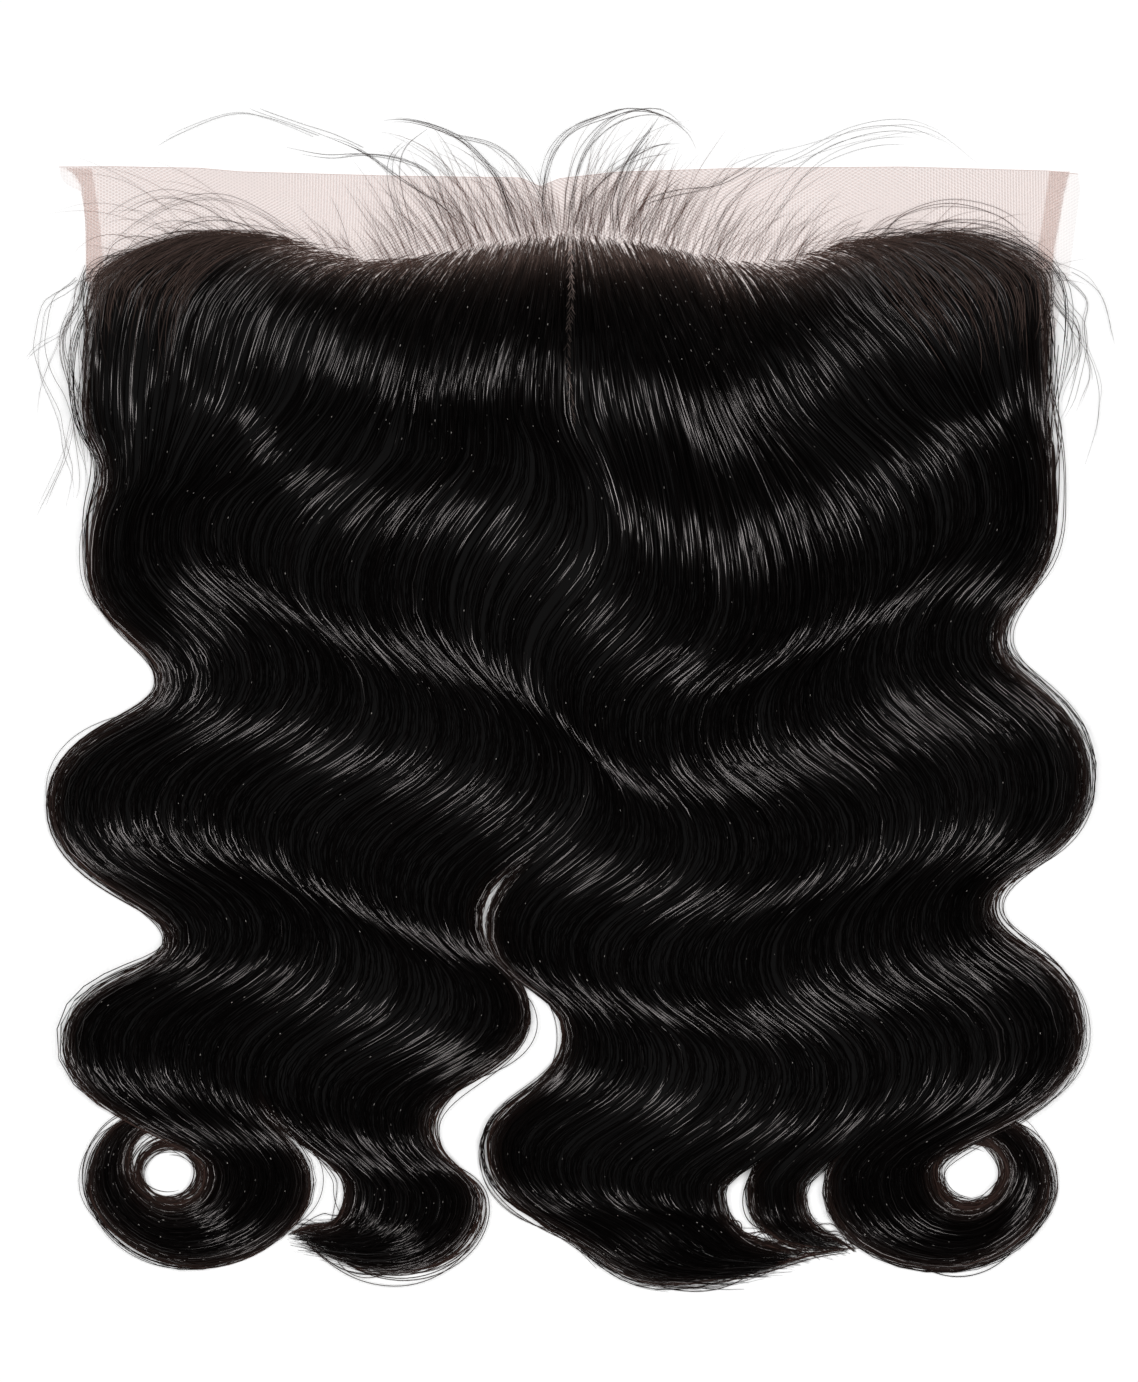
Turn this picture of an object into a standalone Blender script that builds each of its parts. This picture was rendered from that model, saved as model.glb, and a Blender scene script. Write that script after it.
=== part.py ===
"""An ear-to-ear lace frontal hairpiece in a body wave, lying flat. Metres, +Z up, +Y to the bare lace edge.

The hair is worked out from strands: each half of it has a table of the folds of its wave, with a column for
each strand that guides it. A lock is lofted through the strands between two of those columns.
"""

from bisect import bisect_right
import math

import bmesh
import bpy

MM = 0.001

# The piece lies with its middle over the origin: its front edge is this far up the table, mm.
FRONT = 180.7

# Clearance between pieces that lie on each other, mm.
GAP = 0.3

# Lace, mm: its outline as (across, back from the front edge), from the left end to the right one.
LACE_WALL = 1.0
LACE_FRONT_EDGE = (
    (-165.5, 0.6), (-148, 0.5), (-120, 1.0), (-107, 2.2), (-55, 3.6), (-16, 4.1), (-10, 7.0),
    (-4, 4.4), (15, 2.3), (55, 1.0), (107, 0.6), (155, 1.9), (164, 2.9),
)
LACE_RIGHT_END = ((164.7, 8), (163.4, 18), (162.1, 28), (159.8, 42), (155, 60), (150, 90), (146, 132))
LACE_LEFT_END = ((-146, 132), (-150, 90), (-154, 60), (-157, 40), (-158.8, 26), (-160.5, 17), (-164.6, 6.8))

# End tapes, mm: outer and inner edge of each, from the front edge back.
TAPE_WALL = 1.0
TAPE_ROWS = (
    # back, left outer, left inner, right inner, right outer
    (2.4, -161.6, -155.8, 155.2, 160.6),
    (9, -158.6, -154.2, 154.2, 159.6),
    (17, -157.0, -152.4, 153.2, 158.2),
    (26, -156.4, -151.8, 151.8, 156.2),
    (34, -155.6, -151.4, 150.8, 155.4),
)

# How far back the hair starts, mm, by distance from the parting.
HAIRLINE = ((0, 24), (30, 27), (62, 32), (92, 25), (125, 26), (152, 41))

# Folds of the wave, mm. A guide is a strand, and its share says where it lies between the half's two sides.
# Each row gives (across, back) where the guides pass a fold, then how high the hair stands there.
LEFT_GUIDES = {"edge": 0.0, "outer": 0.30, "slit": 0.55, "inner": 0.80, "parting": 1.0}
LEFT_FOLDS = (
    # fold          edge          outer         slit          inner         parting      height
    ("root",       ((-152, 41),  (-55, 31),    (-29, 27),    (-12, 25),    (-0.5, 24)),  3.4),
    ("fall",       ((-154, 76),  (-87, 76),    (-49, 76),    (-25, 76),    (-1.5, 76)),  10),
    ("first_in",   ((-151, 100), (-106, 98),   (-51, 92),    (-24, 93),    (12, 120)),   12),
    ("first_out",  ((-158, 130), (-120, 121),  (-80, 135),   (-46, 140),   (-9, 165)),   14),
    ("second_in",  ((-134, 168), (-89, 165),   (-57, 177),   (-20, 188),   (2, 200)),    15),
    ("second_out", ((-170, 205), (-128, 209),  (-93, 218),   (-57, 233),   (-30, 244)),  15),
    ("third_in",   ((-132, 250), (-97, 248),   (-71, 256),   (-31, 272),   (-13, 276)),  14),
    ("third_out",  ((-166, 284), (-132, 288),  (-102, 295),  (-67, 306),   (-46, 311)),  13),
)
LEFT_CURL = (
    # fold     edge          outer         slit        height
    ("side",  ((-118, 326),  (-103, 328),  (-83, 331)),  12),
    ("foot",  ((-130, 339),  (-127, 348),  (-121, 361)), 10),
    ("back",  ((-142, 326),  (-149, 328),  (-158, 331)), 8),
    ("top",   ((-137, 316),  (-141, 314),  (-148, 311)), 4),
)
LEFT_TAIL = (
    # fold     slit          inner        parting      height
    ("belly", ((-76, 331),   (-48, 335),  (-29, 336)),   12),
    ("foot",  ((-76, 345),   (-63, 352),  (-52, 360)),   9),
    ("tip",   ((-83, 348),   (-83, 352),  (-83, 356)),   4),
)
RIGHT_GUIDES = {
    "parting": 0.0, "inner": 0.15, "middle": 0.29, "first_slit": 0.50, "second_slit": 0.63, "outer": 0.86,
    "edge": 1.0,
}
RIGHT_FOLDS = (
    # fold          parting      inner       middle      first_slit  second_slit outer        edge       height
    ("root",       ((0.5, 24),  (10, 25),   (19, 26),   (29, 28),   (38, 30),   (72, 30),   (153, 36)),  3.4),
    ("fall",       ((0, 76),    (28, 76),   (41, 79),   (53, 76),   (61, 78),   (119, 76),  (153, 76)),  10),
    ("first_out",  ((14, 120),  (38, 136),  (57, 140),  (78, 138),  (93, 133),  (137, 109), (160, 113)), 12),
    ("first_in",   ((-7, 165),  (11, 180),  (32, 183),  (54, 181),  (73, 174),  (111, 156), (140, 154)), 14),
    ("second_out", ((4, 200),   (28, 217),  (53, 221),  (81, 218),  (101, 214), (142, 202), (170, 198)), 15),
    ("second_in",  ((-27, 245), (-3, 253),  (21, 259),  (56, 259),  (78, 254),  (116, 245), (139, 240)), 15),
    ("third_out",  ((-2, 282),  (17, 288),  (46, 293),  (82, 296),  (106, 291), (146, 286), (168, 281)), 14),
)
RIGHT_SWEEP = (
    # fold     parting       inner        middle      first_slit   height
    ("belly", ((-27, 318),   (-13, 321),  (14, 327),  (50, 332)),  13),
    ("foot",  ((0, 347),     (12, 345),   (32, 343),  (53, 344)),  11),
    ("sweep", ((30, 360),    (38, 357),   (46, 354),  (57, 351)),  8),
    ("tip",   ((60, 361),    (61, 359),   (62, 357),  (64, 355)),  4),
)
RIGHT_STRIP = (
    # fold     first_slit   second_slit  height
    ("belly", ((56, 331),   (76, 332)),  12),
    ("foot",  ((64, 346),   (79, 344)),  9),
    ("tip",   ((80, 350),   (86, 348)),  4),
)
RIGHT_CURL = (
    # fold    second_slit  outer        edge         height
    ("side", ((81, 331),   (104, 328),  (117, 326)), 12),
    ("foot", ((120, 361),  (126, 348),  (129, 339)), 10),
    ("back", ((157, 331),  (148, 328),  (141, 326)), 8),
    ("top",  ((147, 311),  (140, 314),  (136, 316)), 4),
)

# How much rounder the folds are than a plain curve through the table, and the share of a half that a slit takes.
ROUNDNESS = 1.45
SLIT_SHARE = 0.005
STATIONS_PER_FOLD = 6

# Section of a lock, mm: between two folds it swells up or sinks, arches a little off the table where it swells,
# and does so in full where it is this thick.
SWELL = 3.0
ARCH_UNDER = 2.5
FULL_THICKNESS = 12.0

# How far up its side a lock is widest, how flat its top is, and how deep the grooves between its strips are.
EDGE_SHARE = 0.45
FLATNESS = 3.0
GROOVE_SHARE = 0.2

# Beyond the lace's hidden edge the hair stays level for a little, then comes down to the table, mm.
LACE_END_LEVEL = 5.0
LACE_END_RAMP = 12.0

HAIR_BLACK = (0.012, 0.010, 0.010, 1.0)
LACE_PINK = (0.72, 0.57, 0.53, 1.0)
TAPE_PINK = (0.62, 0.46, 0.42, 1.0)


def clear_scene():
    for obj in list(bpy.data.objects):
        bpy.data.objects.remove(obj, do_unlink=True)


def plain_material(name, colour, roughness):
    material = bpy.data.materials.new(name)
    material.use_nodes = True
    shader = material.node_tree.nodes["Principled BSDF"]
    shader.inputs["Base Color"].default_value = colour
    shader.inputs["Roughness"].default_value = roughness
    shader.inputs["Metallic"].default_value = 0.0
    material.diffuse_color = colour
    return material


def mean_slope(before, after):
    """Slope of a curve that passes between two steps without going beyond either of them."""
    return 2 * before * after / (before + after) if before * after > 0 else 0.0


def hermite(a, b, slope_a, slope_b, t):
    return (a * (1 + 2 * t) * (1 - t) ** 2 + slope_a * t * (1 - t) ** 2
            + b * t * t * (3 - 2 * t) - slope_b * t * t * (1 - t))


def blend(shares, values, share):
    """The value at a share, on a curve through the guides' values."""
    i = min(max(bisect_right(shares, share) - 1, 0), len(shares) - 2)
    widths = [b - a for a, b in zip(shares, shares[1:])]
    slopes = [(b - a) / w for a, b, w in zip(values, values[1:], widths)]
    slopes = [slopes[0]] + [mean_slope(a, b) for a, b in zip(slopes, slopes[1:])] + [slopes[-1]]
    t = (share - shares[i]) / widths[i]
    return hermite(values[i], values[i + 1], slopes[i] * widths[i], slopes[i + 1] * widths[i], t)


def turning(values):
    """Which values are the furthest out or in of their neighbours."""
    inside = [(b - a) * (c - b) <= 0 for a, b, c in zip(values, values[1:], values[2:])]
    return [False] + inside + [False]


def fold_slopes(values, rounded):
    """Slope at each fold: none where the value turns back, and steeper where the fold is rounded."""
    steps = [b - a for a, b in zip(values, values[1:])]
    inside = [mean_slope(a, b) * (ROUNDNESS if r else 1.0) for a, b, r in zip(steps, steps[1:], rounded[1:])]
    return [steps[0]] + inside + [steps[-1]]


class Lock:
    """A lock of one half of the hair, between two of its guides: all the folds, then its own free end."""

    def __init__(self, guides, folds, end, first, last):
        self.shares = list(guides.values())
        names = list(guides)
        self.own_shares = self.shares[names.index(first):names.index(last) + 1]
        self.folds = folds
        self.end = end
        self.fold_count = len(folds) + len(end)
        self.low = guides[first] + SLIT_SHARE
        self.high = guides[last] - SLIT_SHARE

    def strand(self, across):
        """The folds of one strand, as a list of across values and one of back values."""
        share = self.low + (self.high - self.low) * across
        xs, backs = [], []
        for rows, shares in ((self.folds, self.shares), (self.end, self.own_shares)):
            for _, points, _ in rows:
                xs.append(blend(shares, [p[0] for p in points], share))
                backs.append(blend(shares, [p[1] for p in points], share))
        distances = [d for d, _ in HAIRLINE]
        backs[0] = blend(distances, [b for _, b in HAIRLINE], min(abs(xs[0]), distances[-1]))
        return xs, backs

    def height(self, along):
        """Top of the lock at its middle: the folds' heights, and a swell between each two of them."""
        heights = [h for _, _, h in self.folds + self.end]
        i = min(int(along), self.fold_count - 2)
        swell = SWELL * math.sin(math.pi * along) if along > 1 else 0.0
        fullness = min(1.0, heights[i + 1] / FULL_THICKNESS)
        return heights[i] + (heights[i + 1] - heights[i]) * (along - i) + swell * fullness


def point_along(xs, backs, along):
    x_slopes = fold_slopes(xs, turning(backs))
    back_slopes = fold_slopes(backs, turning(xs))
    i = min(int(along), len(xs) - 2)
    t = along - i
    return (hermite(xs[i], xs[i + 1], x_slopes[i], x_slopes[i + 1], t),
            hermite(backs[i], backs[i + 1], back_slopes[i], back_slopes[i + 1], t))


def floor_under(back):
    """Height of what the hair lies on at a place: the lace, or the table beyond it."""
    past_lace = back - LACE_RIGHT_END[-1][1] - LACE_END_LEVEL
    return (LACE_WALL + GAP) * min(1.0, max(0.0, 1.0 - past_lace / LACE_END_RAMP))


def section(lock, along, strips, columns):
    """Ring of points round the lock: over its top from one side to the other, and back under it."""
    top_height = lock.height(along)
    lift = ARCH_UNDER * max(0.0, math.sin(math.pi * along)) if along > 2 else 0.0
    top, under = [], []
    for k in range(columns + 1):
        across = 0.5 - 0.5 * math.cos(math.pi * k / columns)
        x, back = point_along(*lock.strand(across), along)
        base = floor_under(back)
        arch = (1 - abs(2 * across - 1) ** FLATNESS) ** 0.5
        groove = 1 - GROOVE_SHARE * abs(math.cos(math.pi * strips * across)) ** 3
        edge = base + EDGE_SHARE * (top_height - base)
        place = (x * MM, (FRONT - back) * MM)
        top.append((*place, (edge + (top_height * groove - edge) * arch) * MM))
        under.append((*place, (edge + (base + lift * arch - edge) * arch) * MM))
    return top + under[-2:0:-1]


def loft(name, rings):
    """A closed solid through rings of equal length, with a fan over each end."""
    mesh = bmesh.new()
    loops = [[mesh.verts.new(p) for p in ring] for ring in rings]
    for a, b in zip(loops, loops[1:]):
        for i in range(len(a)):
            j = (i + 1) % len(a)
            mesh.faces.new((a[i], a[j], b[j], b[i]))
    mesh.faces.new(loops[0][::-1])
    mesh.faces.new(loops[-1])
    bmesh.ops.triangulate(mesh, faces=mesh.faces[:], quad_method="SHORT_EDGE")
    bmesh.ops.recalc_face_normals(mesh, faces=mesh.faces[:])
    data = bpy.data.meshes.new(name)
    mesh.to_mesh(data)
    mesh.free()
    data.shade_smooth()
    return bpy.data.objects.new(name, data)


def make_lock(name, lock, strips, columns):
    last = lock.fold_count - 1
    count = last * STATIONS_PER_FOLD
    return loft(name, [section(lock, last * k / count, strips, columns) for k in range(count + 1)])


def flat_piece(name, outline, wall, bottom):
    """A flat sheet of even thickness with a straight-sided outline."""
    curve = bpy.data.curves.new(name, "CURVE")
    curve.dimensions = "2D"
    curve.fill_mode = "BOTH"
    curve.extrude = wall / 2 * MM
    spline = curve.splines.new("POLY")
    spline.points.add(len(outline) - 1)
    for point, (x, back) in zip(spline.points, outline):
        point.co = (x * MM, (FRONT - back) * MM, 0, 1)
    spline.use_cyclic_u = True
    obj = bpy.data.objects.new(name, curve)
    obj.location.z = (bottom + wall / 2) * MM
    return obj


def make_lace():
    outline = LACE_FRONT_EDGE + LACE_RIGHT_END + LACE_LEFT_END
    return flat_piece("lace_net", outline, LACE_WALL, 0)


def make_tape(name, outer, inner):
    down = [(row[outer], row[0]) for row in TAPE_ROWS]
    back_up = [(row[inner], row[0]) for row in reversed(TAPE_ROWS)]
    return flat_piece(name, down + back_up, TAPE_WALL, LACE_WALL + GAP)


def build():
    clear_scene()
    collection = bpy.data.collections.new("lace_frontal")
    bpy.context.scene.collection.children.link(collection)
    left = (LEFT_GUIDES, LEFT_FOLDS)
    right = (RIGHT_GUIDES, RIGHT_FOLDS)
    pieces = {
        "lace_net": (make_lace(), LACE_PINK, 0.8),
        "end_tape_left": (make_tape("end_tape_left", 1, 2), TAPE_PINK, 0.8),
        "end_tape_right": (make_tape("end_tape_right", 4, 3), TAPE_PINK, 0.8),
    }
    locks = (
        # name, half, free end, from guide, to guide, strips, columns
        ("lock_left_curl", left, LEFT_CURL, "edge", "slit", 6, 11),
        ("lock_left_tail", left, LEFT_TAIL, "slit", "parting", 4, 8),
        ("lock_right_sweep", right, RIGHT_SWEEP, "parting", "first_slit", 5, 10),
        ("lock_right_strip", right, RIGHT_STRIP, "first_slit", "second_slit", 2, 6),
        ("lock_right_curl", right, RIGHT_CURL, "second_slit", "edge", 6, 12),
    )
    for name, half, end, first, last, strips, columns in locks:
        lock = Lock(*half, end, first, last)
        pieces[name] = (make_lock(name, lock, strips, columns), HAIR_BLACK, 0.35)
    for name, (obj, colour, roughness) in pieces.items():
        obj.data.materials.append(plain_material(name, colour, roughness))
        collection.objects.link(obj)


build()
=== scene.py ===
"""A lace frontal hairpiece in a black body wave, laid flat on white and seen from straight above."""

import math

import bpy
import numpy as np
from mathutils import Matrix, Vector


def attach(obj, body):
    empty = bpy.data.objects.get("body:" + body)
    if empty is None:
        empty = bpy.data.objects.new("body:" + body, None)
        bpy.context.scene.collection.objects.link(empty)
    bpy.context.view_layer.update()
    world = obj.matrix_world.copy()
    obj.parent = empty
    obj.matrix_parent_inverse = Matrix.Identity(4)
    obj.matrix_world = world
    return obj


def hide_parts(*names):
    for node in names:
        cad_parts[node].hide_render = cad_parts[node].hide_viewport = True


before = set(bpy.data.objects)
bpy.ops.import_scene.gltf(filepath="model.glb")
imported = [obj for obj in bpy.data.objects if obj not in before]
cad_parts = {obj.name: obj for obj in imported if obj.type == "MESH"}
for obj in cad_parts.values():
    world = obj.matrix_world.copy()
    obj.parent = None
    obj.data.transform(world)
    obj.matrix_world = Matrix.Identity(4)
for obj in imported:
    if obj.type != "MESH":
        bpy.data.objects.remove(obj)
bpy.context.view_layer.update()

MM = 0.001
FRONT = 180.7

# The photograph's frame, the place on the table that its middle shows, and how its pixels lie on the table.
FRAME_HIGH_MM = 447.1
FRAME_MIDDLE = (-0.65, 10.5)
CAMERA_ABOVE = 2400.0
PIXEL = 0.3235
PIXEL_MIDDLE = 571
PIXEL_FRONT = 165

# How far back the hair starts, mm, by distance from the parting.
HAIRLINE_ACROSS = (0, 30, 62, 92, 125, 152)
HAIRLINE_BACK = (22, 26.5, 32, 25, 26, 41)

# Folds of the wave, mm: (across, back from the lace's front edge) where each guide strand passes.
LEFT_GUIDES = {"edge": 0.0, "outer": 0.30, "slit": 0.55, "inner": 0.80, "parting": 1.0}
LEFT_FOLDS = {
    # fold edge outer slit inner parting
    "root": ((-103, 26), (-55, 31), (-29, 27), (-12, 25), (-0.5, 24)),
    "brow": ((-153.5, 40), (-75, 48), (-42, 50), (-19, 49), (-1.5, 49)),
    "fall": ((-157.5, 76), (-87, 76), (-49, 76), (-25, 76), (-1.5, 76)),
    "first_in": ((-151.5, 100), (-106, 98), (-51, 92), (-24, 93), (12, 120)),
    "first_out": ((-156, 130), (-120, 121), (-80, 135), (-46, 140), (-9, 165)),
    "second_in": ((-132.5, 168), (-89, 165), (-57, 177), (-20, 188), (2, 200)),
    "second_out": ((-168.5, 207), (-128, 209), (-93, 218), (-57, 233), (-29.3, 244)),
    "third_in": ((-129.5, 250.5), (-97, 248), (-71, 256), (-31, 272), (-13, 276)),
    "third_out": ((-164, 284.5), (-132, 288), (-102, 295), (-67, 306), (-46, 311)),
}
LEFT_CURL = {
    # fold edge outer slit
    "side": ((-118, 325), (-103, 327), (-84, 330)),
    "foot": ((-130, 337), (-127, 346), (-121, 356.5)),
    "back": ((-143.5, 323), (-149, 326), (-156, 330.5)),
    "top": ((-133, 311), (-134.5, 309), (-135.5, 307.5)),
    "tuck": ((-120, 319), (-112, 315), (-106, 311)),
}
LEFT_TAIL = {
    # fold slit inner parting
    "belly": ((-73, 330), (-48, 335), (-29, 336)),
    "foot": ((-77.5, 342.5), (-67, 350), (-57, 358.5)),
    "tip": ((-92, 344.5), (-91.5, 346), (-91, 348)),
}
RIGHT_GUIDES = {
    "parting": 0.0, "inner": 0.15, "middle": 0.29, "first_slit": 0.50, "second_slit": 0.63, "outer": 0.86,
    "edge": 1.0,
}
RIGHT_FOLDS = {
    # fold parting inner middle first_slit second_slit outer edge
    "root": ((0.5, 24), (10, 25), (19, 26), (29, 28), (38, 30), (72, 30), (108, 25)),
    "brow": ((0.5, 49), (20, 50), (31, 51), (42, 52), (50, 54), (98, 50), (152.5, 38)),
    "fall": ((0, 76), (28, 76), (41, 79), (53, 76), (61, 78), (119, 76), (154.5, 76)),
    "first_out": ((14, 120), (38, 136), (57, 140), (78, 138), (93, 133), (137, 109), (157, 113)),
    "first_in": ((-7, 165), (11, 180), (32, 183), (54, 181), (73, 174), (111, 156), (138.5, 154)),
    "second_out": ((4, 200), (28, 217), (53, 221), (81, 218), (101, 214), (142, 202), (167.5, 198.5)),
    "second_in": ((-26.9, 246), (-3, 253), (21, 259), (56, 259), (78, 254), (116, 245), (136, 240)),
    "third_out": ((-2, 282), (17, 288), (46, 293), (82, 296), (106, 291), (146, 286), (165.5, 281)),
}
RIGHT_SWEEP = {
    # fold parting inner middle first_slit
    "belly": ((-27, 318), (-13, 321), (14, 327), (49.5, 332)),
    "foot": ((0, 347.5), (12, 345), (32, 343), (54, 344)),
    "sweep": ((34, 361.5), (42, 358.5), (52, 354), (61, 348.5)),
    "tip": ((71, 357), (74, 355.5), (77, 354), (81, 352)),
}
RIGHT_STRIP = {
    # fold first_slit second_slit
    "belly": ((57.5, 331), (75.5, 332)),
    "foot": ((65, 346), (81, 345)),
    "tip": ((89, 353), (94, 350)),
}
RIGHT_CURL = {
    # fold second_slit outer edge
    "side": ((82.5, 331), (104, 327.5), (117, 325)),
    "foot": ((120, 357), (126, 347), (129, 338)),
    "back": ((154.5, 330.5), (148, 327), (141.3, 325)),
    "top": ((134, 308), (131.5, 310.5), (129, 313.7)),
    "tuck": ((105, 311), (111, 317), (117.8, 321.5)),
}

# Where the wave is level and so catches the light, by share of the way from a half's first guide to its last.
# Each row has how softly its band of light fades, how dim it is, the hair's height there in mm, then its
# place along each strand.
LEFT_LIGHT_SHARES = (0, 0.1, 0.2, 0.3, 0.4, 0.5, 0.6, 0.8, 1)
LEFT_LIGHTS = (
    (0.34, 0.03, 12, 1.0, 1.1, 1.3, 1.45, 1.6, 1.8, 1.75, 1.65, 1.8),
    (0.20, 0.00, 17, 1.9, 1.95, 2.05, 2.65, 3.25, 3.5, 3.58, 3.55, 3.3),
    (0.27, 0.02, 11, 4.8, 4.7, 4.45, 4.4, 4.5, 4.45, 4.45, 4.4, 4.2),
    (0.17, 0.00, 17.5, 5.1, 5.2, 5.4, 5.4, 5.4, 5.4, 5.35, 5.35, 5.4),
    (0.22, 0.03, 11, 6.3, 6.25, 6.2, 6.2, 6.2, 6.25, 6.35, 6.4, 6.3),
    (0.17, 0.00, 17, 7.2, 7.3, 7.35, 7.35, 7.35, 7.35, 7.35, 7.4, 7.5),
    (0.14, 0.10, 11.5, 8.15, 8.2, 8.2, 8.15, 8.2, 8.25, 8.35, 8.3, 8.15),
    (0.13, 0.12, 10.5, 8.6, 8.65, 8.65, 8.6, 8.6, 8.6, 8.62, 8.55, 8.45),
    (0.20, 0.42, 12, 9.7, 9.7, 9.65, 9.7, 9.7, 9.7, 9.5, 9.6, 9.9),
)
RIGHT_LIGHT_SHARES = (0, 0.1, 0.2, 0.3, 0.4, 0.5, 0.6, 0.7, 0.8, 0.9, 1)
RIGHT_LIGHTS = (
    (0.29, 0.03, 14, 1.9, 1.95, 2.05, 2.1, 2.1, 2.05, 2.0, 1.85, 1.35, 0.8, 0.4),
    (0.16, 0.02, 12, 2.85, 2.8, 2.8, 2.8, 2.75, 2.72, 2.7, 2.7, 2.6, 2.25, 1.8),
    (0.19, 0.00, 16.5, 3.5, 3.45, 3.5, 3.55, 3.6, 3.35, 3.3, 3.45, 3.6, 3.55, 3.6),
    (0.27, 0.02, 11, 4.4, 4.5, 4.5, 4.4, 4.35, 4.3, 4.35, 4.4, 4.4, 4.45, 4.5),
    (0.19, 0.00, 17.5, 5.5, 5.45, 5.4, 5.45, 5.5, 5.4, 5.25, 5.2, 5.25, 5.4, 5.5),
    (0.25, 0.02, 11, 6.4, 6.45, 6.4, 6.4, 6.5, 6.45, 6.35, 6.35, 6.35, 6.35, 6.4),
    (0.16, 0.00, 17, 7.35, 7.3, 7.3, 7.35, 7.4, 7.35, 7.4, 7.25, 7.25, 7.3, 7.35),
    (0.22, 0.22, 10.5, 8.4, 8.5, 8.4, 8.3, 8.3, 8.4, 8.4, 8.4, 8.5, 8.6, 8.6),
    (0.20, 0.42, 10, 9.4, 9.4, 9.3, 9.2, 9.1, 9.0, 9.2, 9.5, 9.7, 9.8, 9.8),
)
# Where hair catches the light along its length, or lies in a hollow between the bands: share, its reach,
# place along the strand, its reach, and how much lighter or, under 0, darker.
LEFT_PATCHES = (
    (0.062, 0.032, 2.4, 1.2, 0.95), (0.010, 0.012, 2.0, 0.9, -0.9), (0.112, 0.022, 1.85, 0.38, -1.0),
    (0.120, 0.100, 1.02, 0.55, 0.85), (0.190, 0.040, 1.45, 0.3, 0.7), (0.165, 0.045, 3.3, 0.7, -0.7),
    (0.095, 0.04, 2.7, 0.5, -0.5), (0.55, 0.03, 2.3, 0.5, 0.7), (0.99, 0.02, 2.6, 0.5, 0.5),
    (0.62, 0.02, 9.3, 0.6, 0.6), (0.06, 0.07, 4.6, 0.4, -0.5),
)
RIGHT_PATCHES = (
    (0.99, 0.016, 2.2, 1.2, -0.8), (0.90, 0.095, 1.0, 0.6, 0.85), (0.90, 0.03, 1.9, 0.25, -0.7),
    (0.01, 0.02, 2.4, 0.4, 0.7), (0.90, 0.05, 0.5, 0.3, 0.5), (0.27, 0.04, 8.3, 0.4, 0.5),
    (0.4, 0.10, 9.2, 0.5, -0.8), (0.88, 0.05, 2.45, 0.2, 0.8),
)
# Which way the hair sets off from its knots at each guide: (across, back), mm.
LEFT_SETOFF = ((-66, -21), (-38, 0), (-14, 21), (-7, 24), (-1, 25))
RIGHT_SETOFF = ((1, 25), (11, 25), (13, 25), (15, 24), (16, 22), (42, 0), (63, -20))

# How high the hair stands at its knots and its tips, and how far in from an open edge it is rounded down, mm.
ROOT_HEIGHT = 3.0
TIP_HEIGHT = 4.0
EDGE_ROUNDING = 11.0
# How square that rounding is, and how much of the height it takes off.
EDGE_POWER = 2.4
EDGE_DROP = 0.85
# How far the wave's surface leans at most, and how round its folds are.
MOST_TILT = math.radians(23)
ROUNDNESS = 1.45
# The lace's height and how far back it reaches, mm, and how many cells its sheet has across and along.
LACE_TOP = 1.0
LACE_BACK = 132.0
LACE_COLUMNS = 200
LACE_ROWS = 56
# How much of the lace and of its tapes is thread, in the gaps of the net and on its threads.
LACE_COVER = (0.19, 0.38)
TAPE_COVER = (0.09, 0.21)
# The visual model may reach no further forward than this, mm.
MOST_FORWARD = 199.0

# Points along a strand for each fold, how wide a strand is, mm, and the share of them knotted at the front.
STATIONS_A_FOLD = 6
STRAND_WIDE = 0.27
KNOTTED_AT_FRONT = 0.72
# Rows of points for each fold, and columns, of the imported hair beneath.
BODY_ROWS_A_FOLD = 11
BODY_COLUMNS = 24
# How many groups a half's strands fall into: those that roll, lean, stray and draw together.
ROLL_GROUPS = 1000
LEAN_GROUPS = 420
STRAY_GROUPS = 320
WISPS = 70
WISP_PULL = 120
# How far a ribbon's two edges face away from its middle, how dull loose hairs are, and the lowest place, m.
SPREAD_OF_ROUNDNESS = math.radians(14)
DULLNESS = 0.27
LOWEST = 0.00015
# How many short roots lie in both halves, how many painted glints in each, and where the random draws start.
SHORT_ROOTS = 3000
GLINT_FLECKS = 420
SEED = 413

BLACK = np.array((0.0010, 0.0007, 0.0007))
EDGE_BROWN = np.array((0.015, 0.0090, 0.0075))
ROOT_BROWN = np.array((0.060, 0.040, 0.034))
STRAY_BROWN = np.array((0.024, 0.0135, 0.011))
LOOSE_BROWN = np.array((0.030, 0.015, 0.012))
BABY_BROWN = np.array((0.085, 0.038, 0.027))

# A lock's two sides, with the way out of it on each.
SIDES = ((0, -1), (1, 1))


def on_table(px, py):
    """Place on the table, mm, of a pixel of the photograph."""
    return (px - PIXEL_MIDDLE) * PIXEL, FRONT - (py - PIXEL_FRONT) * PIXEL


def between_guides(knots, values, share):
    """Reads values, one for each guide, at many shares, on a curve that stays between its neighbours."""
    knots = np.asarray(knots, float)
    values = np.asarray(values, float)
    widths = np.diff(knots)
    slopes = np.diff(values) / widths
    slopes = np.concatenate([slopes[:1], calm_slope(slopes[:-1], slopes[1:]), slopes[-1:]])
    i = np.clip(np.searchsorted(knots, share, side="right") - 1, 0, len(knots) - 2)
    t = (share - knots[i]) / widths[i]
    return cubic(values[i], values[i + 1], slopes[i] * widths[i], slopes[i + 1] * widths[i], t)


def calm_slope(before, after):
    """The slope between two steps, and none where the line turns back."""
    total = before + after
    return np.where(before * after > 0, 2 * before * after / np.where(total == 0, 1, total), 0.0)


def cubic(a, b, slope_a, slope_b, t):
    """A smooth line from a to b, with its slope at each end."""
    return (a * (1 + 2 * t) * (1 - t) ** 2 + slope_a * t * (1 - t) ** 2
            + b * t * t * (3 - 2 * t) - slope_b * t * t * (1 - t))


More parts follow.
